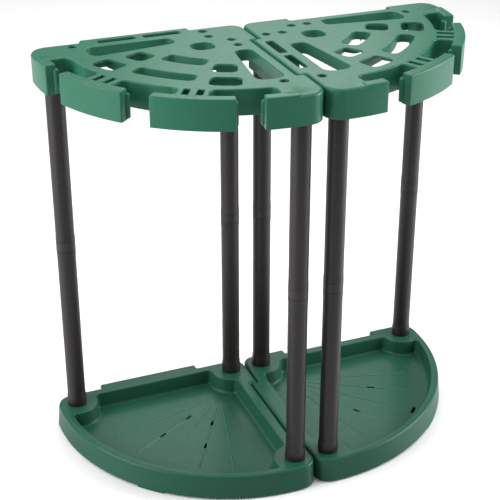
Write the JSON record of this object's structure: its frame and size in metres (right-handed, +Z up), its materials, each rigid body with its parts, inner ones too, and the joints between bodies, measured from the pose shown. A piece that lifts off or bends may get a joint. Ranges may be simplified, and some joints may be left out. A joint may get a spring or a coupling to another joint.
{
  "type": "tool storage rack",
  "caption": "Half-round floor rack for long-handled tools: two quarter-round halves, each with a slotted top plate with handle bays, round legs and a sunk tray.",
  "frame": {"origin": "centre of the bounding box, at the floor", "axes": "+X to the rack's right as seen from its round front, +Y towards its flat back, +Z up"},
  "size_m": [0.668, 0.345, 0.6455],
  "materials": {
    "plate_green": "satin",
    "tray_green": "satin",
    "tube_black": "satin",
    "coupler_black": "satin"
  },
  "bodies": {
    "left_module": {"left_top_plate": "plate_green", "left_tray": "tray_green", "left_outer_lower_tube": "tube_black", "left_outer_coupler": "coupler_black", "left_outer_upper_tube": "tube_black", "left_inner_lower_tube": "tube_black", "left_inner_coupler": "coupler_black", "left_inner_upper_tube": "tube_black", "left_front_lower_tube": "tube_black", "left_front_coupler": "coupler_black", "left_front_upper_tube": "tube_black"},
    "right_module": {"right_top_plate": "plate_green", "right_tray": "tray_green", "right_outer_lower_tube": "tube_black", "right_outer_coupler": "coupler_black", "right_outer_upper_tube": "tube_black", "right_inner_lower_tube": "tube_black", "right_inner_coupler": "coupler_black", "right_inner_upper_tube": "tube_black", "right_front_lower_tube": "tube_black", "right_front_coupler": "coupler_black", "right_front_upper_tube": "tube_black"}
  },
  "joints": [
    {"name": "module_slide", "type": "slide", "parent": "left_module", "child": "right_module", "axis": [1, 0, 0], "range_m": [0, 0.012]}
  ]
}
